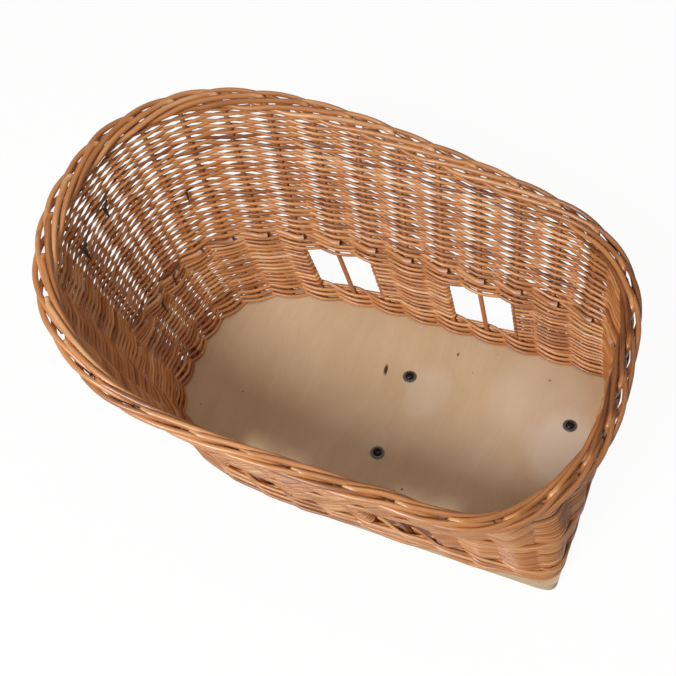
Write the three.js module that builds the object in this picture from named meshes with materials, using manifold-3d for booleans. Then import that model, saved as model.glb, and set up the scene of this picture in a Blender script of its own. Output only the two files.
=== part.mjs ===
// Dog basket for a bicycle carrier: a wicker body, round at one end, on a plywood floor.
// Millimetres, +Z up. The underside of the floor board lies on z = 0 and +X points to the square end.
import * as THREE from 'three';
import { mergeVertices } from 'three/addons/utils/BufferGeometryUtils.js';
import Module from 'manifold-3d';

const wasm = await Module();
wasm.setup();

// Clearance between touching pieces
const GAP = 0.3;

// Upright stakes, and the weavers that pass on both sides of them
const STAKE_COUNT = 34;
const STAKE_DIAMETER = 5.2;
const STAKE_SIDES = 8;
const STAKE_TOP_CLEARANCE = 1;
const WEAVER_DIAMETER = 3.2;
const WALL_THICKNESS = STAKE_DIAMETER + 2 * WEAVER_DIAMETER;

// Floor board, with the wood left outside and under each stake hole
const BOARD_THICKNESS = 12;
const STAKE_HOLE_EDGE_WALL = 2.9;
const STAKE_HOLE_FLOOR = 4;
const BOARD_MARGIN = STAKE_DIAMETER / 2 + GAP + STAKE_HOLE_EDGE_WALL;

// Plan of the stake line at the floor: its ends along X, its half width at each end and how square each end is.
// The drift is how far the stakes beside the round end stand past even spacing.
// The floor is equally wide at both ends.
const BASE_HALF_WIDTH = 130.5;
const BASE_PLAN = {
  roundEnd: -164,
  squareEnd: 273.5,
  halfAtRound: BASE_HALF_WIDTH,
  halfAtSquare: BASE_HALF_WIDTH,
  roundPower: 2.95,
  squarePower: 18,
  drift: 9,
};

// How far the wall leans out from the floor to the waist and from the waist to the rim, at the two ends and
// on the long sides next to them
const WAIST_LEAN = { roundEnd: 42, squareEnd: 1.5, sideAtRound: 15.5, sideAtSquare: 12.5 };
const RIM_LEAN = { roundEnd: 70.5, squareEnd: 1.5, sideAtRound: 70.8, sideAtSquare: 55.8 };

function leaningPlan(plan, lean, shape) {
  return {
    roundEnd: plan.roundEnd - lean.roundEnd,
    squareEnd: plan.squareEnd + lean.squareEnd,
    halfAtRound: plan.halfAtRound + lean.sideAtRound,
    halfAtSquare: plan.halfAtSquare + lean.sideAtSquare,
    ...shape,
  };
}

const WAIST_PLAN = leaningPlan(BASE_PLAN, WAIST_LEAN, { roundPower: 2.8, squarePower: 7, drift: 8 });
const RIM_PLAN = leaningPlan(WAIST_PLAN, RIM_LEAN, { roundPower: 2.41, squarePower: 3.43, drift: -5 });
const BOARD_SQUARE_POWER = 30;

// Heights above the board
const SILL_HEIGHT = 20;
const WAIST_HEIGHT = 66;
const FITCH_HEIGHT = 10;
const RIM_HEIGHT_ROUND = 239;
const RIM_HEIGHT_SQUARE = 157;
const RIM_SAG = 10;

// Border that closes the top edge
const BORDER_WIDTH = 25;
const BORDER_HEIGHT = 18;
const BORDER_SIDES = 10;

// Windows: the stakes that bound them, each with one bare stake in its middle, on the +Y side
const WINDOWS = [
  { first: 6, last: 8 },
  { first: 10, last: 12 },
];
const WINDOW_EDGE_WALL = 1.3;

// Carrier bolts: a rectangle of button head screws with washers and sunk nuts
const BOLT_SPACING_X = 180;
const BOLT_SPACING_Y = 104;
const BOLTS_TO_SQUARE_END = 30.1;
const BOLT_DIAMETER = 5;
const BOLT_END_INSET = 0.8;
const BOLT_HEAD_DIAMETER = 9.5;
const BOLT_HEAD_HEIGHT = 2.75;
const BOLT_SOCKET_DIAMETER = 3.4;
const BOLT_SOCKET_DEPTH = 1.5;
const WASHER_DIAMETER = 15;
const WASHER_THICKNESS = 1.2;
const NUT_ACROSS_FLATS = 8;
const NUT_THICKNESS = 4.7;
const NUT_SPANNER_ROOM = 1.4;
const NUT_RECESS = 1;
const TURNED_SEGMENTS = 16;

// How far a cutting tool starts outside the face that it cuts
const CUT_OVERSHOOT = 1;

// Levels on the Z axis
const BOARD_TOP = BOARD_THICKNESS;
const SILL = BOARD_TOP + SILL_HEIGHT;
const WAIST = BOARD_TOP + WAIST_HEIGHT;
const FITCH_TOP = WAIST + FITCH_HEIGHT;

// Sampling of the wall
const STEPS_PER_GAP = 3;
const SAMPLES_PER_GAP = 24;
const OUTLINE_TOLERANCE = 0.08;

// Materials
const WILLOW = { color: 0xc08850, roughness: 0.55, metalness: 0 };
const WILLOW_BORDER = { color: 0xc98a4c, roughness: 0.5, metalness: 0 };
const STAKE_WILLOW = { color: 0xa9703f, roughness: 0.6, metalness: 0 };
const PLYWOOD = { color: 0xc7aa84, roughness: 0.6, metalness: 0 };
const BLACK_STEEL = { color: 0x17181a, roughness: 0.35, metalness: 0.8 };
const ZINC_STEEL = { color: 0x8c8e8c, roughness: 0.4, metalness: 0.9 };

const basket = new THREE.Group();
basket.name = 'dog_bicycle_basket';

function addPiece(name, geometry, look) {
  const mesh = new THREE.Mesh(geometry, new THREE.MeshStandardMaterial(look));
  mesh.name = name;
  basket.add(mesh);
}

// Share of the drift at a place on the outline, from 0 to 1 all the way round; it mirrors between the sides
function driftShare(place) {
  if (place > 0.5) return -driftShare(1 - place);
  return Math.sin(Math.PI * (2 * place) ** 3);
}

// Plan outline as a list of points spaced like the stakes, from the middle of the square end towards +Y
function spacedOutline(plan) {
  const middle = (plan.roundEnd + plan.squareEnd) / 2;
  const fine = [];
  const fineCount = 6000;
  for (let i = 0; i <= fineCount; i++) {
    const angle = (2 * Math.PI * i) / fineCount;
    const c = Math.cos(angle);
    const s = Math.sin(angle);
    const power = c < 0 ? plan.roundPower : plan.squarePower;
    const reach = c < 0 ? middle - plan.roundEnd : plan.squareEnd - middle;
    const radius = (Math.abs(c) ** power + Math.abs(s) ** power) ** (-1 / power);
    const x = middle + reach * radius * c;
    const along = (x - plan.roundEnd) / (plan.squareEnd - plan.roundEnd);
    const half = plan.halfAtRound + (plan.halfAtSquare - plan.halfAtRound) * along;
    fine.push(new THREE.Vector2(x, half * radius * s));
  }
  const lengths = [0];
  for (let i = 1; i < fine.length; i++) {
    lengths.push(lengths[i - 1] + fine[i].distanceTo(fine[i - 1]));
  }
  const count = STAKE_COUNT * SAMPLES_PER_GAP;
  const points = [];
  let i = 0;
  for (let n = 0; n < count; n++) {
    const wanted = (lengths[fineCount] * n) / count + plan.drift * driftShare(n / count);
    while (lengths[i + 1] < wanted) i++;
    const part = (wanted - lengths[i]) / (lengths[i + 1] - lengths[i]);
    points.push(fine[i].clone().lerp(fine[i + 1], part));
  }
  return points;
}

// Keeps the points of a closed outline that turn it away from the last point kept
function withoutStraightPoints(points) {
  const kept = [points[0]];
  for (let i = 1; i < points.length; i++) {
    const last = kept[kept.length - 1];
    const next = points[(i + 1) % points.length];
    const chord = next.clone().sub(last);
    const bulge = Math.abs(chord.cross(points[i].clone().sub(last))) / chord.length();
    if (bulge > OUTLINE_TOLERANCE) kept.push(points[i]);
  }
  return kept;
}

const basePoints = spacedOutline(BASE_PLAN);
const waistPoints = spacedOutline(WAIST_PLAN);
const rimPoints = spacedOutline(RIM_PLAN);

// Point of an outline at a station; station 0 is the stake at the middle of the square end, 1 the next stake
function atStation(points, station) {
  const count = points.length;
  const place = (((station * SAMPLES_PER_GAP) % count) + count) % count;
  const low = Math.floor(place);
  return points[low % count].clone().lerp(points[(low + 1) % count], place - low);
}

// The top edge falls from the round end to the square end and sags between them
function rimLevel(station) {
  const x = atStation(rimPoints, station).x;
  const along = (x - RIM_PLAN.roundEnd) / (RIM_PLAN.squareEnd - RIM_PLAN.roundEnd);
  const straight = RIM_HEIGHT_ROUND + (RIM_HEIGHT_SQUARE - RIM_HEIGHT_ROUND) * along;
  return BOARD_TOP + straight - 4 * RIM_SAG * along * (1 - along);
}

// Middle of the wall at a station and level: straight from base to waist and from waist to rim
function wallPoint(station, z) {
  const waist = atStation(waistPoints, station);
  if (z <= WAIST) {
    const plan = atStation(basePoints, station).lerp(waist, (z - BOARD_TOP) / (WAIST - BOARD_TOP));
    return new THREE.Vector3(plan.x, plan.y, z);
  }
  const rise = (z - WAIST) / (rimLevel(station) - WAIST);
  const plan = waist.clone().lerp(atStation(rimPoints, station), rise);
  return new THREE.Vector3(plan.x, plan.y, z);
}

// Level direction out of the wall
function wallNormal(station, z) {
  const reach = 0.5 / STEPS_PER_GAP;
  const along = wallPoint(station + reach, z).sub(wallPoint(station - reach, z));
  return new THREE.Vector3(along.y, -along.x, 0).normalize();
}

// Closed body through a row of rings; as a loop the last ring joins the first, otherwise both ends are capped
function loft(rings, isLoop) {
  const sides = rings[0].length;
  const positions = rings.flat().flatMap((point) => point.toArray());
  const faces = [];
  const spans = isLoop ? rings.length : rings.length - 1;
  for (let r = 0; r < spans; r++) {
    const a = r * sides;
    const b = ((r + 1) % rings.length) * sides;
    for (let j = 0; j < sides; j++) {
      const next = (j + 1) % sides;
      faces.push(a + j, b + j, b + next, a + j, b + next, a + next);
    }
  }
  if (!isLoop) {
    const end = (rings.length - 1) * sides;
    for (let j = 1; j < sides - 1; j++) {
      faces.push(0, j, j + 1, end, end + j + 1, end + j);
    }
  }
  const geometry = new THREE.BufferGeometry();
  geometry.setAttribute('position', new THREE.Float32BufferAttribute(positions, 3));
  geometry.setIndex(faces);
  return geometry;
}

// Stations at which the wall is built, placed so that no stake stands on one
const allRound = Array.from({ length: STAKE_COUNT * STEPS_PER_GAP }, (_, n) => (n + 0.5) / STEPS_PER_GAP);

function stationsBetween(first, last) {
  const twice = [...allRound, ...allRound.map((station) => station + STAKE_COUNT)];
  return [first, ...twice.filter((station) => station > first && station < last), last];
}

// A twined band is as thick as a stake with a weaver on each side, all the way round
const twinedThickness = () => WALL_THICKNESS;

// In the plain weave the weavers cross between the stakes, so the wall thins there to a single weaver
function wovenThickness(station) {
  const nearStake = Math.abs(Math.cos(Math.PI * station));
  return WEAVER_DIAMETER + (WALL_THICKNESS - WEAVER_DIAMETER) * nearStake;
}

// Band of wall between two levels; its thickness and its levels are functions of the station
function wallBand(stations, thickness, bottom, top, isLoop) {
  const rings = stations.map((station) => {
    const half = thickness(station) / 2;
    const corners = [
      [-half, bottom(station)],
      [half, bottom(station)],
      [half, top(station)],
      [-half, top(station)],
    ];
    return corners.map(([out, z]) => wallPoint(station, z).addScaledVector(wallNormal(station, z), out));
  });
  return loft(rings, isLoop);
}

// Round rod through a list of rising points; every ring is slid along the rod into a level plane
function rod(points, diameter, sideways) {
  const rings = points.map((point, i) => {
    const before = points[Math.max(i - 1, 0)];
    const after = points[Math.min(i + 1, points.length - 1)];
    const along = after.clone().sub(before).normalize();
    const across = sideways.clone().addScaledVector(along, -along.dot(sideways)).normalize();
    const third = new THREE.Vector3().crossVectors(along, across);
    const ring = [];
    for (let j = 0; j < STAKE_SIDES; j++) {
      const angle = (-2 * Math.PI * (j + 0.5)) / STAKE_SIDES;
      const offset = across.clone().multiplyScalar(Math.cos(angle) * (diameter / 2));
      offset.addScaledVector(third, Math.sin(angle) * (diameter / 2));
      offset.addScaledVector(along, -offset.z / along.z);
      ring.push(point.clone().add(offset));
    }
    return ring;
  });
  return loft(rings, false);
}

// Stake between two levels, bent at the waist
function stakeRod(station, bottom, top, diameter) {
  const levels = [bottom, WAIST, top];
  const sideways = wallNormal(station, WAIST);
  return rod(levels.map((z) => wallPoint(station, z)), diameter, sideways);
}

// Solids for cutting
function toSolid(geometry) {
  const bare = geometry.clone();
  bare.deleteAttribute('normal');
  bare.deleteAttribute('uv');
  const merged = mergeVertices(bare, 1e-4);
  return new wasm.Manifold(
    new wasm.Mesh({
      numProp: 3,
      vertProperties: new Float32Array(merged.attributes.position.array),
      triVerts: new Uint32Array(merged.index.array),
    }),
  );
}

function toGeometry(solid) {
  const mesh = solid.getMesh();
  const geometry = new THREE.BufferGeometry();
  geometry.setAttribute('position', new THREE.Float32BufferAttribute(Array.from(mesh.vertProperties), 3));
  geometry.setIndex(Array.from(mesh.triVerts));
  return geometry;
}

// Cuts one tool after another out of a body
function cut(geometry, tools) {
  let solid = toSolid(geometry);
  for (const tool of tools) solid = solid.subtract(toSolid(tool));
  return toGeometry(solid);
}

// Stakes and the tunnels that they need in everything they pass through
const borderUnderside = (station) => rimLevel(station) - BORDER_HEIGHT / 2;
const weaveTop = (station) => borderUnderside(station) - GAP;
const stakeTop = (station) => borderUnderside(station) - STAKE_TOP_CLEARANCE;
const stakeNumbers = Array.from({ length: STAKE_COUNT }, (_, k) => k);

function tunnel(station) {
  return stakeRod(station, STAKE_HOLE_FLOOR, rimLevel(station), STAKE_DIAMETER + 2 * GAP);
}

for (const k of stakeNumbers) {
  const name = `stake_${String(k + 1).padStart(2, '0')}`;
  addPiece(name, stakeRod(k, STAKE_HOLE_FLOOR + GAP, stakeTop(k), STAKE_DIAMETER), STAKE_WILLOW);
}

const tunnels = stakeNumbers.map(tunnel);
const tunnelsBetween = (first, last) =>
  tunnels.filter((_, k) => [k, k + STAKE_COUNT].some((station) => station > first && station < last));

// Bolt places, shared by the board and all four sets of hardware
const boltCentreX = BASE_PLAN.squareEnd - BOLTS_TO_SQUARE_END - BOLT_SPACING_X / 2;
const boltPlaces = [];
for (const signX of [-1, 1]) {
  for (const signY of [-1, 1]) {
    boltPlaces.push({ x: boltCentreX + (signX * BOLT_SPACING_X) / 2, y: (signY * BOLT_SPACING_Y) / 2 });
  }
}

function uprightCylinder(diameter, bottom, top, place) {
  const geometry = new THREE.CylinderGeometry(diameter / 2, diameter / 2, top - bottom, TURNED_SEGMENTS);
  geometry.rotateX(Math.PI / 2);
  geometry.translate(place.x, place.y, (bottom + top) / 2);
  return geometry;
}

// Floor board with stake holes, bolt holes and nut pockets
const boardPlan = {
  roundEnd: BASE_PLAN.roundEnd - BOARD_MARGIN,
  squareEnd: BASE_PLAN.squareEnd + BOARD_MARGIN,
  halfAtRound: BASE_PLAN.halfAtRound + BOARD_MARGIN,
  halfAtSquare: BASE_PLAN.halfAtSquare + BOARD_MARGIN,
  roundPower: BASE_PLAN.roundPower,
  squarePower: BOARD_SQUARE_POWER,
  drift: 0,
};
const boardOutline = withoutStraightPoints(spacedOutline(boardPlan));
const boardBlank = new THREE.ExtrudeGeometry(new THREE.Shape(boardOutline), {
  depth: BOARD_THICKNESS,
  bevelEnabled: false,
});
const boltHoles = boltPlaces.map((place) =>
  uprightCylinder(BOLT_DIAMETER + 2 * GAP, -CUT_OVERSHOOT, BOARD_TOP + CUT_OVERSHOOT, place));
const nutCornerDiameter = NUT_ACROSS_FLATS / Math.cos(Math.PI / 6);
const pocketRoof = NUT_RECESS + NUT_THICKNESS + GAP;
const nutPockets = boltPlaces.map((place) =>
  uprightCylinder(nutCornerDiameter + 2 * NUT_SPANNER_ROOM, -CUT_OVERSHOOT, pocketRoof, place));
addPiece('base_board', cut(boardBlank, [...tunnels, ...boltHoles, ...nutPockets]), PLYWOOD);

// Woven bands that run all the way round
const level = (z) => () => z;

function ringBand(name, thickness, bottom, top) {
  addPiece(name, cut(wallBand(allRound, thickness, bottom, top, true), tunnels), WILLOW);
}

ringBand('bottom_wale', twinedThickness, level(BOARD_TOP + GAP), level(SILL));
ringBand('fitch_band', twinedThickness, level(WAIST + GAP), level(FITCH_TOP));
ringBand('upper_weave', wovenThickness, level(FITCH_TOP + GAP), weaveTop);

// Woven panels between the windows, each ending just past the stake at the window's edge
const stakeGap = basePoints[0].distanceTo(basePoints[SAMPLES_PER_GAP]);
const pastStake = (STAKE_DIAMETER / 2 + GAP + WINDOW_EDGE_WALL) / stakeGap;

function panel(name, firstStake, lastStake) {
  const first = firstStake - pastStake;
  const last = lastStake + pastStake;
  const stations = stationsBetween(first, last);
  const band = wallBand(stations, wovenThickness, level(SILL + GAP), level(WAIST), false);
  addPiece(name, cut(band, tunnelsBetween(first, last)), WILLOW);
}

const [nearSquare, nearRound] = WINDOWS;
panel('back_panel', nearSquare.last, nearRound.first);
panel('round_end_panel', nearRound.last, STAKE_COUNT - nearRound.last);
panel('front_panel', STAKE_COUNT - nearRound.first, STAKE_COUNT - nearSquare.last);
panel('square_end_panel', STAKE_COUNT - nearSquare.first, STAKE_COUNT + nearSquare.first);

// Border: an oval bar along the top edge that leans with the wall, flat underneath where the weave ends
function borderRing(station) {
  const flatScale = 1 / Math.cos(Math.PI / BORDER_SIDES);
  const ring = [];
  for (let j = 0; j < BORDER_SIDES; j++) {
    const angle = (2 * Math.PI * j) / BORDER_SIDES;
    const out = (BORDER_WIDTH / 2) * Math.cos(angle);
    const z = rimLevel(station) + (BORDER_HEIGHT / 2) * flatScale * Math.sin(angle);
    ring.push(wallPoint(station, z).addScaledVector(wallNormal(station, z), out));
  }
  return ring;
}
addPiece('border', loft(allRound.map(borderRing), true), WILLOW_BORDER);

// Hardware: button head screw, washer and nut
const washerBottom = BOARD_TOP + GAP;
const headBottom = washerBottom + WASHER_THICKNESS + GAP;
const shankEnd = NUT_RECESS + BOLT_END_INSET;

function turned(profile, place) {
  const points = profile.map(([r, z]) => new THREE.Vector2(r, z));
  const geometry = new THREE.LatheGeometry(points, TURNED_SEGMENTS);
  geometry.rotateX(Math.PI / 2);
  geometry.translate(place.x, place.y, 0);
  return geometry;
}

function boltProfile() {
  const shank = BOLT_DIAMETER / 2;
  const head = BOLT_HEAD_DIAMETER / 2;
  const socket = BOLT_SOCKET_DIAMETER / 2;
  const top = headBottom + BOLT_HEAD_HEIGHT;
  const dome = [0, 0.25, 0.5, 0.75, 1].map((part) => {
    const angle = (part * Math.PI) / 2;
    const r = socket + (head - socket) * Math.cos(angle);
    return [r, headBottom + BOLT_HEAD_HEIGHT * (0.2 + 0.8 * Math.sin(angle))];
  });
  return [
    [0, shankEnd],
    [shank, shankEnd],
    [shank, headBottom],
    [head, headBottom],
    ...dome,
    [socket, top - BOLT_SOCKET_DEPTH],
    [0, top - BOLT_SOCKET_DEPTH],
  ];
}

function washerProfile() {
  const hole = BOLT_DIAMETER / 2 + GAP;
  const edge = WASHER_DIAMETER / 2;
  const top = washerBottom + WASHER_THICKNESS;
  return [[hole, washerBottom], [edge, washerBottom], [edge, top], [hole, top], [hole, washerBottom]];
}

function nutGeometry(place) {
  const corners = [];
  for (let j = 0; j < 6; j++) {
    const angle = (Math.PI * j) / 3;
    corners.push(new THREE.Vector2(Math.cos(angle), Math.sin(angle)).multiplyScalar(nutCornerDiameter / 2));
  }
  const shape = new THREE.Shape(corners);
  const hole = new THREE.Path();
  hole.absarc(0, 0, BOLT_DIAMETER / 2 + GAP, 0, 2 * Math.PI, true);
  shape.holes.push(hole);
  const geometry = new THREE.ExtrudeGeometry(shape, {
    depth: NUT_THICKNESS,
    bevelEnabled: false,
    curveSegments: TURNED_SEGMENTS,
  });
  geometry.translate(place.x, place.y, NUT_RECESS);
  return geometry;
}

boltPlaces.forEach((place, n) => {
  addPiece(`bolt_${n + 1}`, turned(boltProfile(), place), BLACK_STEEL);
  addPiece(`washer_${n + 1}`, turned(washerProfile(), place), ZINC_STEEL);
  addPiece(`nut_${n + 1}`, nutGeometry(place), ZINC_STEEL);
});

export default basket;
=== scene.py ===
"""Look of the wicker dog basket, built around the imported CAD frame. Metres, +Z up, +X to the square end."""
import math

import bpy
import numpy as np
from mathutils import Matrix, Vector


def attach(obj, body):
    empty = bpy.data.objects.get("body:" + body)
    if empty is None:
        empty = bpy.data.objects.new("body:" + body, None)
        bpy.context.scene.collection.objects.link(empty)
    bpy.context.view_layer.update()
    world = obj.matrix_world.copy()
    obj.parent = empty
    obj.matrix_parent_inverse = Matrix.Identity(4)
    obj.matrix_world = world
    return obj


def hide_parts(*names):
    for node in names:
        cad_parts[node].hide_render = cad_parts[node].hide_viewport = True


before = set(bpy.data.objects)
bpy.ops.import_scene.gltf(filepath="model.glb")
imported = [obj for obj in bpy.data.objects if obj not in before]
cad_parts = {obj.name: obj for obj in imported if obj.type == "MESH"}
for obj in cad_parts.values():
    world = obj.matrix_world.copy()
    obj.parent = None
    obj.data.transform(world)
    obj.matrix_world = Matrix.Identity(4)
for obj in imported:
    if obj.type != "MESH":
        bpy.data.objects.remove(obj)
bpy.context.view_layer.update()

rng = np.random.default_rng(7)
MM = 0.001

# Wall of the basket: the same values as the part's source, in millimetres
STAKE_COUNT = 34
STAKE_DIAMETER = 5.2
BOARD_TOP = 12.0
SILL = 32.0
WAIST = 78.0
FITCH_TOP = 88.0
STAKE_BOTTOM = 4.3
BASE_PLAN = {"ends": (-164.0, 273.5), "halves": (130.5, 130.5), "powers": (2.95, 18.0), "drift": 9.0}
WAIST_PLAN = {"ends": (-206.0, 275.0), "halves": (146.0, 143.0), "powers": (2.8, 7.0), "drift": 8.0}
RIM_PLAN = {"ends": (-276.5, 276.5), "halves": (216.8, 198.8), "powers": (2.41, 3.43), "drift": -5.0}
RIM_HEIGHT_ROUND = 239.0
RIM_HEIGHT_SQUARE = 157.0
RIM_SAG = 10.0
BORDER_HEIGHT = 18.0
STAKE_TOP_CLEARANCE = 1.0
WINDOWS = ((6, 8), (10, 12))

# Rods of the weave
WEAVER_DIAMETER = 3.5
FRENCH_PITCH = 6.6
PANEL_ROWS = 21
WALE_ROWS = 3
FITCH_ROWS = 3
WALE_DIAMETER = 3.8
BORDER_ROD_DIAMETER = 5.8
STEPS_PER_GAP = 10
ROD_SIDES = 8
THICK_ROD_SIDES = 12
SWING = 0.88 * (STAKE_DIAMETER + WEAVER_DIAMETER) / 2


# Plan outlines, spaced like the stakes
OUTLINE_POINTS = 6001
SAMPLES_PER_GAP = 24


def spaced_outline(plan):
    low, high = plan["ends"]
    middle = (low + high) / 2
    angle = np.linspace(0, 2 * np.pi, OUTLINE_POINTS)
    c, s = np.cos(angle), np.sin(angle)
    power = np.where(c < 0, plan["powers"][0], plan["powers"][1])
    radius = (np.abs(c) ** power + np.abs(s) ** power) ** (-1 / power)
    x = middle + (high - low) / 2 * radius * c
    along = (x - low) / (high - low)
    y = (plan["halves"][0] + (plan["halves"][1] - plan["halves"][0]) * along) * radius * s
    length = np.concatenate([[0], np.cumsum(np.hypot(np.diff(x), np.diff(y)))])
    place = np.linspace(0, 1, STAKE_COUNT * SAMPLES_PER_GAP + 1)
    mirrored = np.minimum(place, 1 - place)
    drift = plan["drift"] * np.sign(0.5 - place) * np.sin(np.pi * (2 * mirrored) ** 3)
    wanted = length[-1] * place + drift
    return np.stack([np.interp(wanted, length, x), np.interp(wanted, length, y)], axis=-1)


def around(station, middle, width):
    """1 at a station, falling off to both sides."""
    away = (station - middle + STAKE_COUNT / 2) % STAKE_COUNT - STAKE_COUNT / 2
    return np.exp(-(away / width) ** 2)


def bumps(station, places):
    """Sum of local changes along the wall; each has a station, a width in stations and a size."""
    return sum(size * around(station, middle, width) for middle, width, size in places)


def swayed(points, sways):
    """Outline pushed out of its even line at some stations."""
    station = np.arange(len(points)) / SAMPLES_PER_GAP
    along = np.gradient(points, axis=0)
    outward = np.stack([along[:, 1], -along[:, 0]], axis=-1) / np.linalg.norm(along, axis=1)[:, None]
    return points + outward * bumps(station, sways)[:, None]


# The hand-made rim is not quite even, and the near side is fuller at the waist
RIM_SWAY = ((4.2, 1.2, 4.5), (15.0, 0.9, -3.0), (18.8, 1.1, -3.2), (22.2, 1.2, 5.0), (26.3, 1.8, -4.2),
            (27.8, 0.6, -3.4), (29.6, 0.9, 5.0), (31.4, 0.7, -3.5), (33.6, 1.1, 4.0))
WAIST_SWAY = ((21.4, 1.0, 3.0), (25.0, 3.4, 8.0))
base_points = spaced_outline(BASE_PLAN)
waist_points = swayed(spaced_outline(WAIST_PLAN), WAIST_SWAY)
rim_points = swayed(spaced_outline(RIM_PLAN), RIM_SWAY)


def at_station(points, station):
    """Plan point at a station: 0 is the stake at the middle of the square end, counted towards +Y."""
    place = (np.asarray(station, float) * SAMPLES_PER_GAP) % (STAKE_COUNT * SAMPLES_PER_GAP)
    index = np.arange(len(points))
    return np.stack([np.interp(place, index, points[:, 0]), np.interp(place, index, points[:, 1])], axis=-1)


def rim_level(station):
    low, high = RIM_PLAN["ends"]
    along = (at_station(rim_points, station)[..., 0] - low) / (high - low)
    straight = RIM_HEIGHT_ROUND + (RIM_HEIGHT_SQUARE - RIM_HEIGHT_ROUND) * along
    return BOARD_TOP + straight - 4 * RIM_SAG * along * (1 - along)


def wall_point(station, z):
    """Middle of the wall at a station and level, in millimetres."""
    station = np.asarray(station, float)
    z = np.broadcast_to(np.asarray(z, float), station.shape)
    waist = at_station(waist_points, station)
    base = at_station(base_points, station)
    rim = at_station(rim_points, station)
    low_share = (z - BOARD_TOP) / (WAIST - BOARD_TOP)
    high_share = (z - WAIST) / (rim_level(station) - WAIST)
    low = base + (waist - base) * low_share[..., None]
    high = waist + (rim - waist) * high_share[..., None]
    plan = np.where((z <= WAIST)[..., None], low, high)
    return np.concatenate([plan, z[..., None]], axis=-1)


def wall_normal(station, z):
    """Level direction out of the wall."""
    reach = 0.15
    station = np.asarray(station)
    along = wall_point(station + reach, z) - wall_point(station - reach, z)
    normal = np.stack([along[..., 1], -along[..., 0], 0 * along[..., 0]], axis=-1)
    return normal / np.linalg.norm(normal, axis=-1)[..., None]


def on_wall(station, z, out):
    """Point at a distance outside the middle of the wall."""
    return wall_point(station, z) + wall_normal(station, z) * np.asarray(out)[..., None]


def upper_level(station, slant):
    """Level at a length along the leaning upper wall, counted from the top of the fitch."""
    waist = at_station(waist_points, station)
    rim = at_station(rim_points, station)
    rise = rim_level(station) - WAIST
    lean = np.hypot(np.linalg.norm(rim - waist, axis=-1), rise)
    return FITCH_TOP + slant * rise / lean


def slant_height(station):
    """Length of the upper wall from the fitch to the underside of the border."""
    one = upper_level(station, np.ones_like(station, dtype=float)) - FITCH_TOP
    return (rim_level(station) - BORDER_HEIGHT / 2 - FITCH_TOP) / one


def weave_side(place):
    """Swing from side to side of the wall: straight between the stakes, rounded at them."""
    sharpness = 0.95
    return np.arcsin(sharpness * np.cos(np.pi * place)) / math.asin(sharpness)


def wander(count, step, size):
    """Smooth random sway along a rod: one free value every so many points."""
    knots = rng.normal(0, size, count // step + 3)
    return np.interp(np.arange(count) / step, np.arange(len(knots)), knots)


# Unevenness of hand work: sway along the wall's height, sway in and out, and share of the thickness
WALE_SWAY = 0.25
PANEL_SWAY = 0.3
WEAVE_SWAY = 0.45
SWAY_OUT = 0.15
WALE_UNEVEN = 0.04
WEAVER_UNEVEN = 0.05


# Meshes made of round rods; the grain of each rod starts at a random place within so many metres
GRAIN_SHIFT = 9.0


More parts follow.
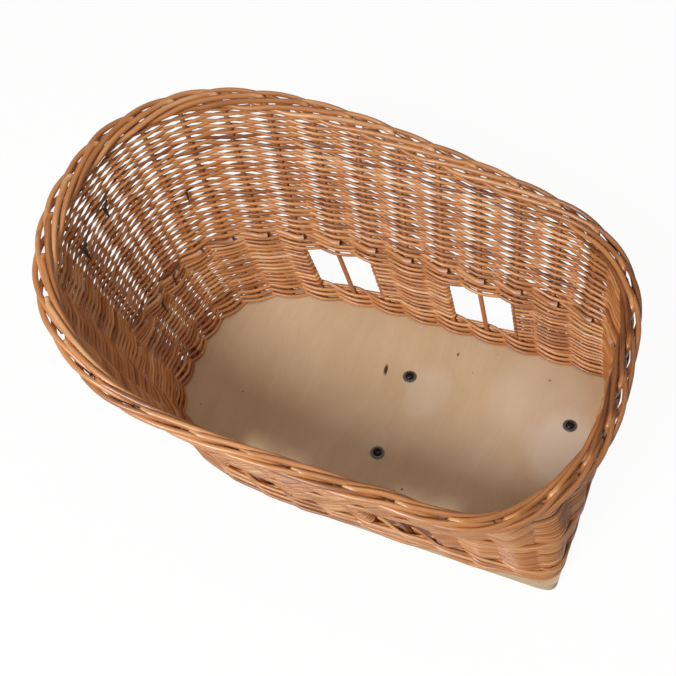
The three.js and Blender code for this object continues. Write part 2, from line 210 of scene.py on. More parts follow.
class Rods:
    """Collects rods and turns them into one mesh with rod coordinates and a tint for each rod."""

    def __init__(self):
        self.points = []
        self.corners = []
        self.sizes = []
        self.uvs = []
        self.tints = []
        self.cuts = []
        self.total = 0

    def add(self, path, radius, tint, sides=ROD_SIDES, cut=0.0):
        path = np.asarray(path, float) * MM
        radius = np.broadcast_to(np.asarray(radius, float) * MM, len(path))
        across, third = carried_frame(path)
        angle = 2 * np.pi * np.arange(sides) / sides
        ring = across[:, None] * np.cos(angle)[None, :, None] + third[:, None] * np.sin(angle)[None, :, None]
        rings = path[:, None] + ring * radius[:, None, None]
        steps = np.linalg.norm(np.diff(path, axis=0), axis=1)
        run = np.concatenate([[0], np.cumsum(steps)]) + rng.uniform(0, GRAIN_SHIFT)
        tint = np.broadcast_to(np.asarray(tint, float), len(path))
        cut = np.broadcast_to(np.asarray(cut, float), len(path))
        self._side(rings, run, np.repeat(tint, sides), np.repeat(cut, sides))
        self._cap(rings[0][::-1], run[0], tint[0])
        self._cap(rings[-1], run[-1], tint[-1])

    def _side(self, rings, run, tint, cut):
        count, sides = rings.shape[:2]
        row = np.arange(count - 1)[:, None] * sides
        j = np.arange(sides)[None, :]
        nxt = (j + 1) % sides
        quads = np.stack([row + j, row + nxt, row + sides + nxt, row + sides + j], axis=-1).reshape(-1, 4)
        shape = (count - 1, sides)
        u0, u1 = (np.broadcast_to(turn / sides, shape) for turn in (j, j + 1))
        v0, v1 = (np.broadcast_to(length[:, None], shape) for length in (run[:-1], run[1:]))
        around_quad = ((u0, v0), (u1, v0), (u1, v1), (u0, v1))
        uv = np.stack([np.stack(corner, -1) for corner in around_quad], 2)
        self._append(rings.reshape(-1, 3), quads, uv.reshape(-1, 2), tint, cut)

    def _cap(self, ring, run, tint):
        sides = len(ring)
        points = np.concatenate([ring, [ring.mean(axis=0)]])
        j = np.arange(sides)
        triangles = np.stack([j, (j + 1) % sides, np.full(sides, sides)], axis=-1)
        uv = np.tile([[0.5, run]], (3 * sides, 1))
        self._append(points, triangles, uv, tint, 1.0)

    def _append(self, points, faces, uv, tint, cut):
        self.points.append(points)
        self.corners.append(faces.ravel() + self.total)
        self.sizes.append(np.full(len(faces), faces.shape[1]))
        self.uvs.append(uv)
        self.tints.append(np.broadcast_to(tint, len(points)))
        self.cuts.append(np.broadcast_to(cut, len(points)))
        self.total += len(points)

    def build(self, name, material, nodes):
        points = np.concatenate(self.points)
        corners = np.concatenate(self.corners).astype(np.int32)
        sizes = np.concatenate(self.sizes).astype(np.int32)
        mesh = bpy.data.meshes.new(name)
        mesh.vertices.add(len(points))
        mesh.vertices.foreach_set("co", points.ravel())
        mesh.loops.add(len(corners))
        mesh.loops.foreach_set("vertex_index", corners)
        mesh.polygons.add(len(sizes))
        mesh.polygons.foreach_set("loop_start", np.concatenate([[0], np.cumsum(sizes)[:-1]]).astype(np.int32))
        mesh.polygons.foreach_set("use_smooth", np.ones(len(sizes), bool))
        mesh.uv_layers.new(name="rod").data.foreach_set("uv", np.concatenate(self.uvs).ravel())
        for label, values in (("tint", self.tints), ("cut", self.cuts)):
            mesh.attributes.new(label, "FLOAT", "POINT").data.foreach_set("value", np.concatenate(values))
        mesh.update(calc_edges=True)
        mesh.validate()
        place_piece(name, mesh, material, nodes)


def carried_frame(path):
    """Two directions across the rod at each point, carried along it without twist."""
    along = np.gradient(path, axis=0)
    along /= np.linalg.norm(along, axis=1)[:, None]
    nearly_upright = 0.1
    start = np.cross(along[0], [0, 0, 1])
    if np.linalg.norm(start) < nearly_upright:
        start = np.cross(along[0], [1, 0, 0])
    across = np.empty_like(path)
    current = start / np.linalg.norm(start)
    for i, direction in enumerate(along):
        current = current - direction * current.dot(direction)
        current = current / np.sqrt(current.dot(current))
        across[i] = current
    return across, np.cross(along, across)


def place_piece(name, mesh, material, nodes):
    piece = bpy.data.objects.new(name, mesh)
    bpy.context.scene.collection.objects.link(piece)
    mesh.materials.append(material)
    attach(piece, "root")
    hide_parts(*nodes)


# Node materials
class Graph:
    """Short way to write a node tree."""

    def __init__(self, name):
        self.material = bpy.data.materials.new(name)
        self.material.use_nodes = True
        self.tree = self.material.node_tree
        self.shader = self.tree.nodes["Principled BSDF"]

    def node(self, kind, links=None, **settings):
        made = self.tree.nodes.new(kind)
        for key, value in settings.items():
            setattr(made, key, value)
        for socket, value in (links or {}).items():
            self.set(made.inputs[socket], value)
        return made

    def set(self, socket, value):
        if isinstance(value, bpy.types.NodeSocket):
            self.tree.links.new(value, socket)
        else:
            socket.default_value = value

    def math(self, operation, a, b=0.0):
        return self.node("ShaderNodeMath", {0: a, 1: b}, operation=operation).outputs[0]

    def noise(self, vector, scale, detail=2.0, roughness=0.5):
        links = {"Vector": vector, "Scale": scale, "Detail": detail, "Roughness": roughness}
        return self.node("ShaderNodeTexNoise", links).outputs["Fac"]

    def ramp(self, factor, stops):
        made = self.node("ShaderNodeValToRGB", {"Fac": factor})
        elements = made.color_ramp.elements
        while len(elements) < len(stops):
            elements.new(0.5)
        for element, (place, colour) in zip(elements, stops):
            element.position = place
            element.color = (*colour, 1)
        return made.outputs["Color"]

    def mix(self, factor, a, b, blend="MIX"):
        made = self.node("ShaderNodeMix", data_type="RGBA", blend_type=blend)
        for index, value in ((0, factor), (6, a), (7, b)):
            self.set(made.inputs[index], value)
        return made.outputs[2]

    def stretched(self, vector, scale):
        return self.node("ShaderNodeMapping", {"Vector": vector, "Scale": scale}).outputs["Vector"]

    def bump(self, height, strength, distance):
        links = {"Height": height, "Strength": strength, "Distance": distance}
        self.set(self.shader.inputs["Normal"], self.node("ShaderNodeBump", links).outputs["Normal"])


def srgb(r, g, b):
    """Linear colour from 0 to 255 screen values."""
    return tuple(((v / 255 + 0.055) / 1.055) ** 2.4 for v in (r, g, b))


def grey(value):
    return (value, value, value)


BARK = srgb(38, 28, 22)
CUT_DARK = srgb(182, 134, 112)
CUT_LIGHT = srgb(222, 182, 158)
# How far a rod's tint moves its colour, and how far a blemish darkens it
TINT_REACH = 0.55
SCAR_REACH = 0.55


def willow_material(name, dark, middle, light, pale, roughness):
    """Peeled willow: streaks along the rod, a tint for each rod, darker blemishes and pale cut ends."""
    g = Graph(name)
    rod = g.node("ShaderNodeUVMap", uv_map="rod").outputs["UV"]
    tint = g.node("ShaderNodeAttribute", attribute_name="tint").outputs["Fac"]
    cut = g.node("ShaderNodeAttribute", attribute_name="cut").outputs["Fac"]
    streak = g.noise(g.stretched(rod, (7.0, 26.0, 1.0)), 1.0, 4.0, 0.6)
    patch = g.noise(g.stretched(rod, (1.0, 9.0, 1.0)), 1.0, 2.0, 0.5)
    fibre = g.noise(g.stretched(rod, (26.0, 70.0, 1.0)), 1.0, 2.0, 0.6)
    level = g.math("ADD", g.math("MULTIPLY", streak, 0.5), g.math("MULTIPLY", patch, 0.5))
    level = g.math("ADD", level, g.math("MULTIPLY", g.math("SUBTRACT", tint, 0.5), TINT_REACH))
    colour = g.ramp(level, [(0.0, BARK), (0.16, dark), (0.42, middle), (0.62, light), (0.85, pale)])
    blemish = g.noise(g.stretched(rod, (1.5, 24.0, 1.0)), 1.0, 1.0)
    scar = g.ramp(blemish, [(0.7, grey(0)), (0.78, grey(1))])
    colour = g.mix(g.math("MULTIPLY", scar, SCAR_REACH), colour, (*dark, 1))
    end_colour = g.mix(fibre, (*CUT_DARK, 1), (*CUT_LIGHT, 1))
    g.set(g.shader.inputs["Base Color"], g.mix(cut, colour, end_colour))
    rough = g.math("ADD", g.math("MULTIPLY", streak, 0.22), roughness - 0.1)
    g.set(g.shader.inputs["Roughness"], rough)
    g.shader.inputs["Specular IOR Level"].default_value = 1.0
    g.bump(fibre, 0.35, 0.0003)
    return g.material


willow = willow_material(
    "willow", srgb(122, 64, 26), srgb(190, 121, 64), srgb(218, 156, 97), srgb(241, 200, 154), 0.38)
willow_border = willow_material(
    "willow_border", srgb(125, 68, 29), srgb(189, 123, 68), srgb(211, 148, 91), srgb(238, 195, 149), 0.38)
stake_willow = willow_material(
    "stake_willow", srgb(110, 56, 23), srgb(164, 98, 51), srgb(190, 123, 69), srgb(212, 153, 101), 0.42)


# Marks on the floor board, in millimetres: place, length along the grain, width and how dark
BOARD_MARKS = (
    ((29.5, 51.0), 27.0, 5.0, 1.0),
    ((102.5, 105.5), 7.0, 5.0, 0.85),
    ((125.3, 86.4), 3.0, 2.4, 0.6),
    ((144.7, 115.6), 3.0, 2.4, 0.6),
    ((202.0, 99.8), 5.0, 4.0, 0.7),
    ((100.0, -93.0), 5.0, 4.2, 0.9),
    ((106.2, -87.3), 5.0, 4.2, 0.9),
    ((-104.8, -31.7), 3.0, 3.0, 0.6),
    ((-138.9, -58.7), 3.0, 3.0, 0.6),
)
# Pale worn patches around the bolts: place, length along the grain, width and how pale
BOARD_PATCHES = (
    ((82.0, 40.0), 130.0, 76.0, 0.3),
    ((205.0, 70.0), 190.0, 150.0, 0.25),
    ((246.0, 20.0), 156.0, 112.0, 0.7),
    ((60.0, -50.0), 60.0, 40.0, 0.3),
)
MARK_COLOUR = srgb(70, 48, 34)
WORN_COLOUR = srgb(228, 213, 195)
PORE_COLOUR = srgb(150, 110, 74)
# Height of a light and a dark ply together, in metres
PLY_PAIR = 0.0033


def oval(g, place, middle, length, width):
    """Distance from the middle of an oval on the board, 1 on its edge."""
    centre = (*(v * MM for v in middle), 0.0)
    shift = g.node("ShaderNodeVectorMath", {0: place, 1: centre}, operation="SUBTRACT")
    shape = g.stretched(shift.outputs[0], (2 / (width * MM), 2 / (length * MM), 0.0))
    return g.node("ShaderNodeVectorMath", {0: shape}, operation="LENGTH").outputs["Value"]


def spotted(g, face, place, spots, fray, solid, colour):
    """Face with frayed oval spots, solid up to a share of their size and faded out at their edge."""
    for middle, length, width, strength in spots:
        edge = g.math("ADD", oval(g, place, middle, length, width), g.math("MULTIPLY", fray, 0.5))
        shown = g.ramp(edge, [(solid, grey(strength)), (1.0, grey(0))])
        face = g.mix(shown, face, (*colour, 1))
    return face


def plywood_material():
    """Birch plywood: soft grain across the board, worn patches, dark marks and layers on the cut edge."""
    g = Graph("plywood")
    place = g.node("ShaderNodeTexCoord").outputs["Object"]
    links = {"Vector": g.stretched(place, (9.0, 5.0, 5.0)), "Scale": 1.0, "Detail": 3.0}
    bend = g.node("ShaderNodeTexNoise", links)
    warped = g.mix(0.03, place, bend.outputs["Color"], "LINEAR_LIGHT")
    grain = g.noise(g.stretched(warped, (64.0, 5.0, 5.0)), 1.0, 5.0, 0.55)
    cloud = g.noise(g.stretched(place, (9.0, 5.0, 5.0)), 1.0, 3.0, 0.55)
    pore = g.noise(g.stretched(warped, (800.0, 60.0, 60.0)), 1.0, 2.0, 0.5)
    level = g.math("ADD", g.math("MULTIPLY", grain, 0.3), g.math("MULTIPLY", cloud, 0.7))
    face = g.ramp(level, [(0.3, srgb(207, 178, 140)), (0.5, srgb(219, 192, 156)), (0.7, srgb(228, 205, 174))])
    face = g.mix(g.math("MULTIPLY", pore, 0.16), face, (*PORE_COLOUR, 1), "MULTIPLY")
    face = spotted(g, face, warped, BOARD_PATCHES, grain, 0.75, WORN_COLOUR)
    face = spotted(g, face, warped, BOARD_MARKS, pore, 0.6, MARK_COLOUR)
    height = g.node("ShaderNodeSeparateXYZ", {"Vector": place}).outputs["Z"]
    ply = g.math("SINE", g.math("MULTIPLY", height, 2 * math.pi / PLY_PAIR))
    layer = g.ramp(ply, [(0.35, srgb(224, 200, 164)), (0.65, srgb(206, 176, 136))])
    upright = g.node("ShaderNodeNewGeometry").outputs["Normal"]
    flat = g.math("ABSOLUTE", g.node("ShaderNodeSeparateXYZ", {"Vector": upright}).outputs["Z"])
    g.set(g.shader.inputs["Base Color"], g.mix(g.math("GREATER_THAN", flat, 0.5), layer, face))
    g.set(g.shader.inputs["Roughness"], g.math("ADD", g.math("MULTIPLY", grain, 0.2), 0.45))
    g.bump(g.math("ADD", grain, g.math("MULTIPLY", pore, 0.4)), 0.12, 0.0006)
    return g.material


def steel_material(name, low, high, metallic, roughness):
    """Metal with a fine worn grain."""
    g = Graph(name)
    place = g.node("ShaderNodeTexCoord").outputs["Object"]
    grain = g.noise(place, 900.0, 4.0, 0.6)
    g.set(g.shader.inputs["Base Color"], g.ramp(grain, [(0.3, low), (0.7, high)]))
    g.shader.inputs["Metallic"].default_value = metallic
    g.set(g.shader.inputs["Roughness"], g.math("ADD", g.math("MULTIPLY", grain, 0.2), roughness - 0.1))
    g.bump(grain, 0.1, 0.0001)
    return g.material


plywood = plywood_material()
black_steel = steel_material("black_steel", srgb(14, 15, 17), srgb(38, 38, 40), 0.3, 0.38)
zinc_steel = steel_material("zinc_steel", srgb(96, 94, 92), srgb(136, 133, 130), 0.7, 0.45)


# Tint of a rod: 0.5 is the usual colour, less is darker
TINT_SPREAD = 0.17
TINT_LIMITS = (0.05, 0.95)


def random_tint():
    return float(np.clip(rng.normal(0.5, TINT_SPREAD), *TINT_LIMITS))


# Painted shade: the rods are tinted darker at the square end, which lies in shade: station, width in stations
# and change of tint
PAINTED_SHADE_SQUARE_END = ((0.8, 4.2, -0.22),)
# Share of this painted shade that shows in the upper weave
WEAVE_PAINTED_SHADE = 0.6

# Stakes: uprights from the board to the border, a little uneven in thickness
STAKE_POINTS = 24
STAKE_UNEVEN = 0.02


def stake(number):
    name = f"stake_{number + 1:02d}"
    top = float(rim_level(number)) - BORDER_HEIGHT / 2 - STAKE_TOP_CLEARANCE
    levels = np.linspace(STAKE_BOTTOM, top, STAKE_POINTS)
    path = wall_point(np.full(STAKE_POINTS, float(number)), levels)
    radius = STAKE_DIAMETER / 2 * (1 + wander(STAKE_POINTS, STAKE_POINTS // 4, STAKE_UNEVEN))
    rods = Rods()
    rods.add(path, radius, random_tint(), THICK_ROD_SIDES)
    rods.build(f"willow_{name}", stake_willow, [name])


for k in range(STAKE_COUNT):
    stake(k)


# Three-rod wale: each strand passes one stake inside and two outside and steps up a row at the end of a round
WALE_STRANDS = 3
# Share of a round in which a strand steps up, and its rise and fall in rows
WALE_STEP_UP = 0.06
WALE_TILT = 0.2
# How far a strand bulges out over the next in diameters, and over which width in stations
WALE_LAP = 0.35
WALE_LAP_WIDTH = 0.5
# Single rods that make up one round of a strand
RODS_PER_ROUND = 4
# How much lower than the solids the rods lie at the sill and under the fitch
SILL_DROP = 2.0
FITCH_DROP = 3.0
# Gap between the board and the wale, and how far the fitch reaches up into the upper weave
WALE_GAP = 0.4
FITCH_LAP = 0.3
# How far the lowest row hangs over the edge of the board, and how much more along the near side: station,
# width in stations and millimetres. The next row hangs less, and the square corners stay clear
OVERHANG = 0.9
NEAR_OVERHANG = ((21.6, 1.0, 2.0), (23.8, 2.2, 3.8), (28.6, 0.9, 2.6))
OVERHANG_ROWS = 2
CORNER_CLEAR = 15.0
CORNER_FADE = 60.0
# First and last station and depth of the strands that have slipped down over the near edge of the board
SLIPPED_STRANDS = ((25.0, 28.1, 1.0), (27.2, 29.9, 0.9))
# Where they start, above the board and out of the wall, and how far they go down and out from there
SLIP_START_UP = 3.5
SLIP_START_OUT = 2.5
SLIP_DOWN = 12.0
SLIP_OUT = 6.1
SLIP_SWAY = 0.3
SLIP_POINTS = 41


def board_overhang(station):
    to_corner = BASE_PLAN["ends"][1] - at_station(base_points, station)[..., 0]
    off_corner = np.clip((to_corner - CORNER_CLEAR) / CORNER_FADE, 0, 1)
    return off_corner * (OVERHANG + bumps(station, NEAR_OVERHANG))


def slipped_strand(rods, first, last, depth):
    """Loose strand that leaves the wale, lies along the edge of the board and goes back in."""
    run = np.linspace(0, 1, SLIP_POINTS)
    slip = depth * np.sin(np.pi * run)
    z = BOARD_TOP + SLIP_START_UP - SLIP_DOWN * slip + wander(SLIP_POINTS, STEPS_PER_GAP, SLIP_SWAY)
    out = SLIP_START_OUT + SLIP_OUT * slip
    rods.add(on_wall(first + (last - first) * run, z, out), WALE_DIAMETER / 2, random_tint())


def wale(name, node, low, high, rows, diameter, overhang=np.zeros_like, slipped=()):
    """Band of wale; its lowest row can hang over the edge of the board, with some strands slipped off it."""
    row = (high - low) / rows
    swing = (STAKE_DIAMETER + diameter) / 2
    rods = Rods()
    for strand in range(WALE_STRANDS):
        count = STAKE_COUNT * rows * STEPS_PER_GAP + 1
        station = np.linspace(0, STAKE_COUNT * rows, count)
        phase = (station - strand) % WALE_STRANDS
        turning = np.where(phase < 1, np.cos(np.pi * phase), -np.cos(np.pi * (phase - 2)))
        inward = np.where((phase >= 1) & (phase < 2), -1, turning)
        rounds = station / STAKE_COUNT
        step = np.floor(rounds) + np.clip((rounds % 1 - 1) / WALE_STEP_UP + 1, 0, 1)
        step = np.minimum(step, rows - 1)
        tilt = WALE_TILT * np.sin(2 * np.pi * phase / WALE_STRANDS)
        z = low + row * (step + 0.5 + tilt) + wander(count, STEPS_PER_GAP, WALE_SWAY)
        outside = np.clip(-inward, 0, 1)
        hang = overhang(station) * np.clip(1 - step / OVERHANG_ROWS, 0, 1) * outside
        lap = WALE_LAP * diameter * np.exp(-((phase - 1) / WALE_LAP_WIDTH) ** 2)
        out = -inward * swing + hang + lap + wander(count, STEPS_PER_GAP, SWAY_OUT)
        path = on_wall(station, z - hang * outside ** 2, out)
        for part in np.array_split(np.arange(count), RODS_PER_ROUND * rows):
            stop = min(part[-1] + 2, count)
            size = diameter / 2 * (1 + wander(stop - part[0], 2 * STEPS_PER_GAP, WALE_UNEVEN))
            rods.add(path[part[0]:stop], size, random_tint())
    for strand in slipped:
        slipped_strand(rods, *strand)
    rods.build(name, willow, [node])


wale("wale_rods", "bottom_wale", BOARD_TOP + WALE_GAP, SILL - SILL_DROP, WALE_ROWS, WALE_DIAMETER,
     board_overhang, SLIPPED_STRANDS)
wale("fitch_rods", "fitch_band", WAIST - FITCH_DROP, FITCH_TOP + FITCH_LAP, FITCH_ROWS, WEAVER_DIAMETER)


# Woven panels between the windows: how far they reach down into the wale, and the usual gap between stakes
PANEL_LAP = 0.8
STAKE_GAP = 38.0
TURN_POINTS = 9


def panel(name, node, first, last, diameter, swing):
    """A rod goes to and fro, in front of one stake and behind the next, and turns at the window stakes."""
    gaps = last - first
    count = gaps * STEPS_PER_GAP + 1
    share = np.linspace(0, 1, count)
    turn = np.linspace(0, np.pi, TURN_POINTS)[1:-1]
    reach = swing / STAKE_GAP
    bottom = SILL - SILL_DROP - PANEL_LAP
    row = (WAIST - bottom) / PANEL_ROWS
    rods = Rods()
    for r in range(PANEL_ROWS):
        start, end, way = (first, last, 1) if r % 2 == 0 else (last, first, -1)
        station = start + way * gaps * share
        side = weave_side(station - first + r)
        z = np.full(count, bottom + row * (r + 0.5))
        station = np.concatenate([station, end + way * reach * np.sin(turn)])
        side = np.concatenate([side, side[-1] * np.cos(turn)])
        z = np.concatenate([z, z[-1] + row * turn / np.pi])
        sway = wander(len(z), STEPS_PER_GAP, PANEL_SWAY)
        radius = diameter / 2 * (1 + wander(len(z), STEPS_PER_GAP, WEAVER_UNEVEN))
        z = np.minimum(z + sway, WAIST - diameter / 2)
        rods.add(on_wall(station, z, swing * side), radius, random_tint())
    rods.build(name, willow, [node])


near_square, near_round = WINDOWS
panel("back_panel_rods", "back_panel", near_square[1], near_round[0], diameter=3.5, swing=3.2)
panel("round_end_rods", "round_end_panel", near_round[1], STAKE_COUNT - near_round[1],
      diameter=3.8, swing=3.0)
panel("front_panel_rods", "front_panel", STAKE_COUNT - near_round[0], STAKE_COUNT - near_square[1],
      diameter=3.1, swing=4.6)
panel("square_end_rods", "square_end_panel", STAKE_COUNT - near_square[0], STAKE_COUNT + near_square[0],
      diameter=3.1, swing=4.2)


# Upper wall: one weaver starts at each stake and climbs half a row from stake to stake.
# Its butt is thick at first and pale at the cut; lengths along it in stations
BUTT_DIAMETER = 5.9
BUTT_OVERHANG = 0.16
BUTT_STEPS = (-BUTT_OVERHANG, -0.09, -0.05)
BUTT_LENGTH = 1.5
BUTT_CUT = 0.2
BUTT_PALE = 0.8
LONGEST_CLIMB = 80
# How much thicker than usual a weaver is at the fitch, and what it loses up to the border
FITCH_THICKER = 0.06
TIP_TAPER = 0.14
# How far the weavers run up into the border, and the points that a run has to pass to be woven
BORDER_LAP = 3.0
SHORTEST_RUN = 4
# Station, level and radius of the dark ends on the inside of the round end
DARK_ENDS = ((16.9, 211.0, 2.4), (18.1, 207.0, 2.4), (14.6, 160.0, 1.6), (16.1, 92.0, 1.2), (17.0, 84.0, 1.2))
# Their length along the wall in stations, hang, distance from the weave, bow, taper and tint
DARK_END_LENGTH = 0.2
DARK_END_HANG = 13.0
DARK_END_STANDOFF = 2.6
DARK_END_BOW = 1.4
DARK_END_TAPER = 0.65
DARK_END_TINT = -1.5
DARK_END_POINTS = 13
# Where the rods lie closer or further apart than usual: station, width in stations and share
CLOSE_WEAVE = ((8.5, 6.0, 0.13), (11.5, 0.8, 0.05), (16.8, 1.4, -0.14), (20.0, 1.4, 0.18), (26.0, 3.5, -0.16),
               (30.8, 1.5, -0.14))
# Where the rods bend more around the stakes, along the near side and its square corner
STRONG_BENDS = ((25.0, 4.0, 0.7), (30.8, 1.6, 0.6))
# Besides, each gap is open in its own way, and more just after its first stake than before the next
GAP_UNEVEN = 0.045
GAP_LEAN = 0.08
gap_closeness = rng.normal(0, GAP_UNEVEN, STAKE_COUNT)


def runs_of(flags):
    """First and last index of each unbroken run of true values."""
    edges = np.flatnonzero(np.diff(np.concatenate([[0], flags.astype(int), [0]])))
    return zip(edges[::2], edges[1::2])


def upper_weave():
    rods = Rods()
    for k in range(STAKE_COUNT):
        station = k + np.concatenate([BUTT_STEPS, np.arange(0, LONGEST_CLIMB, 1 / STEPS_PER_GAP)])
        climbed = np.maximum(station - k, 0) / 2 * FRENCH_PITCH + WEAVER_DIAMETER / 2
        for first, last in runs_of(climbed < slant_height(station) + BORDER_LAP):
            if last - first > SHORTEST_RUN:
                weaver(rods, k, station[first:last], climbed[first:last])
    for station, level, radius in DARK_ENDS:
        dark_end(rods, station, level, radius)
    rods.build("upper_weave_rods", willow, ["upper_weave"])


def dark_end(rods, station, level, radius):
    """Dark end of a weaver that sticks out inside the wall and bends down over the next rods."""
    run = np.linspace(-1, 1, DARK_END_POINTS)
    along = station + DARK_END_LENGTH * np.minimum(run, 0)
    z = level - DARK_END_HANG * np.maximum(run, 0)
    out = -SWING - DARK_END_STANDOFF + DARK_END_BOW * run ** 2
    rods.add(on_wall(along, z, out), radius * (1 - DARK_END_TAPER * np.abs(run)), DARK_END_TINT)


def weaver(rods, start, station, climbed):
    count = len(station)
    slant = climbed + wander(count, STEPS_PER_GAP, WEAVE_SWAY)
    taper = BUTT_DIAMETER - (BUTT_DIAMETER - WEAVER_DIAMETER) * np.clip((station - start) / BUTT_LENGTH, 0, 1)
    closeness = np.interp(station, np.arange(STAKE_COUNT) + 0.5, gap_closeness, period=STAKE_COUNT)
    closeness = closeness + bumps(station, CLOSE_WEAVE) - GAP_LEAN * np.sin(2 * np.pi * station)
    tip = FITCH_THICKER - TIP_TAPER * climbed / slant_height(station)
    diameter = taper * (1 + closeness + tip + wander(count, 2 * STEPS_PER_GAP, WEAVER_UNEVEN))
    swing = SWING * (1 + bumps(station, STRONG_BENDS)) + (diameter - WEAVER_DIAMETER) / 2
    out = -weave_side(station - start) * swing + wander(count, STEPS_PER_GAP, SWAY_OUT)
    cut = np.clip(1 - (station - start + BUTT_OVERHANG) / BUTT_CUT, 0, BUTT_PALE)
    # Tint of the rod, with painted shade darkening it towards the square end
    tint = random_tint() + WEAVE_PAINTED_SHADE * bumps(station, PAINTED_SHADE_SQUARE_END)
    rods.add(on_wall(station, upper_level(station, slant), out), diameter / 2, tint, cut=cut)


upper_weave()


# Rolled border: each rod rises at its stake, rolls in over the edge, under it and out again.
# Its course: stakes passed, then the place across the border and the lift off its tilted middle plane
BORDER_COURSE = (
    (-0.02, 0.0, -10.0), (0.02, 0.3, -5.0), (0.06, 0.8, 1.0), (0.18, 0.9, 4.0), (0.5, -1.6, 4.9),
    (1.0, -4.6, 4.6), (1.5, -6.8, 3.3), (2.0, -8.2, 0.8), (2.3, -7.8, -2.0), (2.6, -5.6, -4.4),
    (2.9, -2.2, -5.0), (3.2, 0.8, -5.0), (3.5, 4.9, -4.2), (3.7, 7.6, -2.8), (4.1, 8.8, 0.2),
    (4.6, 8.2, 2.8), (4.9, 6.2, 3.9), (5.2, 3.8, 4.2), (5.5, 1.6, 1.6), (5.8, 0.2, -2.4))
BORDER_TILT = math.radians(8)
# Points of the course up to the end of its elbow and from there on
ELBOW_END = 0.3
ELBOW_POINTS = 12
COURSE_POINTS = 60
# Usual width of the course, and where it is wider or narrower: station, width in stations and share
BORDER_WIDTH = 0.9
BORDER_SPREAD = ((0.0, 4.0, 0.1), (10.0, 3.5, 0.14), (17.0, 4.0, 0.1), (25.0, 2.0, -0.14))
# Thickness of a rod at its foot, what it has more around the round end and what it loses to its tip
BORDER_FOOT = 0.97
THICKER_RODS = ((STAKE_COUNT / 2, 6.0, 0.1),)
BORDER_TAPER = 0.12
# Sway of a rod across the border and up, unevenness of its thickness, and the points between free values
BORDER_SWAY_ACROSS = 0.35
BORDER_SWAY_UP = 0.25
BORDER_SWAY_STEP = 12
BORDER_UNEVEN = 0.03
BORDER_UNEVEN_STEP = 16
# Place and length of the pale elbow of a rod, how pale it is, and where a painted highlight makes the elbows
# paler still, along the near side that faces the key light
ELBOW = (0.14, 0.14)
ELBOW_PALE = 0.25
PAINTED_ELBOW_HIGHLIGHT = ((28.0, 6.0, 0.25),)


def smooth_through(knots, values, places):
    """Smooth curve through a row of values, with the slope of their neighbours at each."""
    slope = np.gradient(values, knots)
    i = np.clip(np.searchsorted(knots, places) - 1, 0, len(knots) - 2)
    width = knots[i + 1] - knots[i]
    t = (places - knots[i]) / width
    a = (1 + 2 * t) * (1 - t) ** 2 * values[i] + t * (1 - t) ** 2 * width * slope[i]
    return a + t ** 2 * (3 - 2 * t) * values[i + 1] + t ** 2 * (t - 1) * width * slope[i + 1]


def border():
    knots, across, lift = np.array(BORDER_COURSE).T
    elbow = np.linspace(knots[0], ELBOW_END, ELBOW_POINTS)
    places = np.concatenate([elbow, np.linspace(ELBOW_END, knots[-1], COURSE_POINTS)[1:]])
    count = len(places)
    rods = Rods()
    for k in range(STAKE_COUNT):
        station = k + places
        at_ends = np.cos(4 * np.pi * station / STAKE_COUNT)
        spread = BORDER_WIDTH + bumps(station, BORDER_SPREAD)
        tilt = BORDER_TILT * (1 - at_ends) / 2
        sway = wander(count, BORDER_SWAY_STEP, BORDER_SWAY_ACROSS)
        x = smooth_through(knots, across, places) * spread + sway
        y = smooth_through(knots, lift, places) + wander(count, BORDER_SWAY_STEP, BORDER_SWAY_UP)
        out = x * np.cos(tilt) - y * np.sin(tilt)
        up = x * np.sin(tilt) + y * np.cos(tilt)
        to_tip = np.clip(places / knots[-1], 0, 1)
        taper = BORDER_FOOT + bumps(station, THICKER_RODS) - BORDER_TAPER * to_tip
        radius = BORDER_ROD_DIAMETER / 2 * taper * (1 + wander(count, BORDER_UNEVEN_STEP, BORDER_UNEVEN))
        # Elbows a little paler where the rod bends, with a painted highlight added along the near side
        pale = ELBOW_PALE + bumps(station, PAINTED_ELBOW_HIGHLIGHT)
        at_elbow = np.exp(-((places - ELBOW[0]) / ELBOW[1]) ** 2)
        # Tint of the rod, with painted shade at the square end and a pale elbow
        tint = random_tint() + bumps(station, PAINTED_SHADE_SQUARE_END) + pale * at_elbow
        rods.add(on_wall(station, rim_level(station) + up, out), radius, tint, THICK_ROD_SIDES)
    rods.build("border_rods", willow_border, ["border"])


border()


# Floor board and nuts keep their CAD shapes
def dress(node, material):
    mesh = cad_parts[node].data
    mesh.materials.clear()
    mesh.materials.append(material)


dress("base_board", plywood)
for n in range(1, 5):
    dress(f"nut_{n}", zinc_steel)


# Button head screws and washers, turned smooth with rounded edges; sizes and places as in the part's source
BOLT_CENTRE_X = 153.4
BOLT_SPACING = (180.0, 104.0)
BOLT_RADIUS = 2.5
BOLT_END = 1.8
HEAD_RADIUS = 4.75
HEAD_HEIGHT = 2.75
SOCKET_RADIUS = 1.7
SOCKET_DEPTH = 1.5
SOCKET_CHAMFER_WIDTH = 0.3
SOCKET_CHAMFER_DEPTH = 0.2
# Share of the head's height that is a straight side under its dome
HEAD_SIDE = 0.2
WASHER_RADIUS = 7.5
WASHER_THICKNESS = 1.2
# Gap between the board, the washer and the bolt
GAP = 0.3
EDGE_ROUND = 0.25
EDGE_POINTS = 4
DOME_POINTS = 10
TURNED_SIDES = 48
# Radius of the small hole that is left on the axis of a turned piece
AXIS = 0.01


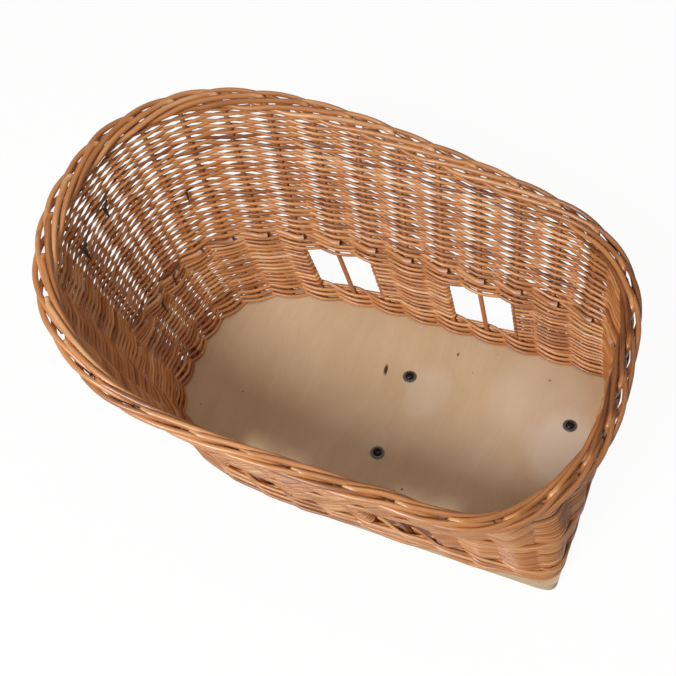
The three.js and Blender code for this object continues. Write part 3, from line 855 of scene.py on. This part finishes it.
def turned(name, node, profile, place, material):
    """Smooth turned piece from a profile of radius and level; each band keeps its own edge points."""
    angle = 2 * np.pi * np.arange(TURNED_SIDES) / TURNED_SIDES
    points = []
    faces = []
    for low, high in zip(profile[:-1], profile[1:]):
        start = len(points)
        for radius, level in (low, high):
            ring = np.stack([np.cos(angle) * radius, np.sin(angle) * radius, 0 * angle + level], axis=-1)
            points.extend((ring + [*place, 0]) * MM)
        for j in range(TURNED_SIDES):
            after = (j + 1) % TURNED_SIDES
            faces.append((start + j, start + after, start + TURNED_SIDES + after, start + TURNED_SIDES + j))
    mesh = bpy.data.meshes.new(name)
    mesh.from_pydata([tuple(point) for point in points], [], faces)
    mesh.polygons.foreach_set("use_smooth", np.ones(len(faces), bool))
    mesh.validate()
    place_piece(name, mesh, material, [node])


def rounded(radius, level):
    """Quarter round at an edge, from the side of the piece to its top."""
    return [(radius - EDGE_ROUND * (1 - math.cos(t)), level - EDGE_ROUND * (1 - math.sin(t)))
            for t in np.linspace(0, np.pi / 2, EDGE_POINTS)]


def bolt_profile():
    seat = BOARD_TOP + 2 * GAP + WASHER_THICKNESS
    top = seat + HEAD_HEIGHT
    rim = SOCKET_RADIUS + SOCKET_CHAMFER_WIDTH
    dome = [(rim + (HEAD_RADIUS - rim) * math.cos(t),
             seat + HEAD_HEIGHT * (HEAD_SIDE + (1 - HEAD_SIDE) * math.sin(t)))
            for t in np.linspace(0, np.pi / 2, DOME_POINTS)]
    floor = top - SOCKET_DEPTH
    return [(AXIS, BOLT_END), (BOLT_RADIUS, BOLT_END), (BOLT_RADIUS, seat), (HEAD_RADIUS, seat), *dome,
            (SOCKET_RADIUS, top - SOCKET_CHAMFER_DEPTH), (SOCKET_RADIUS, floor), (AXIS, floor)]


def washer_profile():
    low = BOARD_TOP + GAP
    top = low + WASHER_THICKNESS
    hole = BOLT_RADIUS + GAP
    return [(hole, low), (WASHER_RADIUS, low), *rounded(WASHER_RADIUS, top), (hole, top), (hole, low)]


corners = [(sx, sy) for sx in (-1, 1) for sy in (-1, 1)]
for n, (sx, sy) in enumerate(corners, 1):
    place = (BOLT_CENTRE_X + sx * BOLT_SPACING[0] / 2, sy * BOLT_SPACING[1] / 2)
    turned(f"black_bolt_{n}", f"bolt_{n}", bolt_profile(), place, black_steel)
    turned(f"zinc_washer_{n}", f"washer_{n}", washer_profile(), place, zinc_steel)


# Studio: white floor, soft light and the camera
def white_for_camera(tree):
    """1 for rays that show the background itself, in view, in gloss or through glass."""
    path = tree.nodes.new("ShaderNodeLightPath")
    total = path.outputs["Is Camera Ray"]
    for ray in ("Is Glossy Ray", "Is Transmission Ray"):
        add = tree.nodes.new("ShaderNodeMath")
        add.operation = "MAXIMUM"
        tree.links.new(total, add.inputs[0])
        tree.links.new(path.outputs[ray], add.inputs[1])
        total = add.outputs[0]
    return total


# Floor in metres and its glow for the camera, the ambient light, and the point that the lights aim at
FLOOR_HALF = 30.0
FLOOR_GAP = 0.0005
FLOOR_GLOW = 0.95
AMBIENT = 0.2
AMBIENT_COLOUR = (1, 0.88, 0.79, 1)
LIGHT_TARGET = (0, 0, 0.1)


def make_floor():
    mesh = bpy.data.meshes.new("studio_floor")
    corners = [(sx * FLOOR_HALF, sy * FLOOR_HALF, 0) for sx, sy in ((-1, -1), (1, -1), (1, 1), (-1, 1))]
    mesh.from_pydata(corners, [], [(0, 1, 2, 3)])
    floor = bpy.data.objects.new("studio_floor", mesh)
    floor.location.z = -FLOOR_GAP
    bpy.context.scene.collection.objects.link(floor)
    g = Graph("studio_floor")
    speckle = g.noise(g.node("ShaderNodeTexCoord").outputs["Object"], 40.0)
    shade = g.ramp(speckle, [(0.0, grey(0.24)), (1.0, grey(0.28))])
    faint = g.ramp(speckle, [(0.0, grey(0.05)), (1.0, grey(0.06))])
    plain = g.node("ShaderNodeBsdfDiffuse", {"Color": shade}).outputs[0]
    shadow = g.node("ShaderNodeBsdfDiffuse", {"Color": faint}).outputs[0]
    glow = g.node("ShaderNodeEmission", {"Strength": FLOOR_GLOW}).outputs[0]
    shown = g.node("ShaderNodeAddShader", {0: shadow, 1: glow}).outputs[0]
    both = g.node("ShaderNodeMixShader", {0: white_for_camera(g.tree), 1: plain, 2: shown}).outputs[0]
    g.set(g.tree.nodes["Material Output"].inputs["Surface"], both)
    mesh.materials.append(g.material)


def make_world():
    world = bpy.data.worlds.new("studio")
    bpy.context.scene.world = world
    world.use_nodes = True
    background = world.node_tree.nodes["Background"]
    background.inputs["Color"].default_value = AMBIENT_COLOUR
    background.inputs["Strength"].default_value = AMBIENT


def area_light(name, place, size, power, colour):
    light = bpy.data.lights.new(name, "AREA")
    light.shape = "DISK"
    light.size = size
    light.energy = power
    light.color = colour
    lamp = bpy.data.objects.new(name, light)
    lamp.location = place
    lamp.rotation_euler = (Vector(LIGHT_TARGET) - Vector(place)).to_track_quat("-Z", "Y").to_euler()
    bpy.context.scene.collection.objects.link(lamp)


CAMERA_PLACE = Vector((0.2752, -0.7257, 1.1524))
CAMERA_TARGET = Vector((-0.02885, 0.07413, 0.012))
CAMERA_LENS = 67.79
CAMERA_SENSOR = 36.0


def make_camera():
    data = bpy.data.cameras.new("camera")
    data.sensor_width = CAMERA_SENSOR
    data.lens = CAMERA_LENS
    camera = bpy.data.objects.new("camera", data)
    camera.location = CAMERA_PLACE
    camera.rotation_euler = (CAMERA_TARGET - CAMERA_PLACE).to_track_quat("-Z", "Y").to_euler()
    bpy.context.scene.collection.objects.link(camera)
    bpy.context.scene.camera = camera


make_floor()
make_world()
area_light("key_light", (-0.36, -1.75, 1.69), size=0.7, power=45.0, colour=(1.0, 0.99, 0.98))
area_light("top_light", (0.4, 0.3, 2.4), size=2.0, power=9.0, colour=(1.0, 0.91, 0.84))
make_camera()
bpy.context.scene.view_settings.view_transform = "Standard"
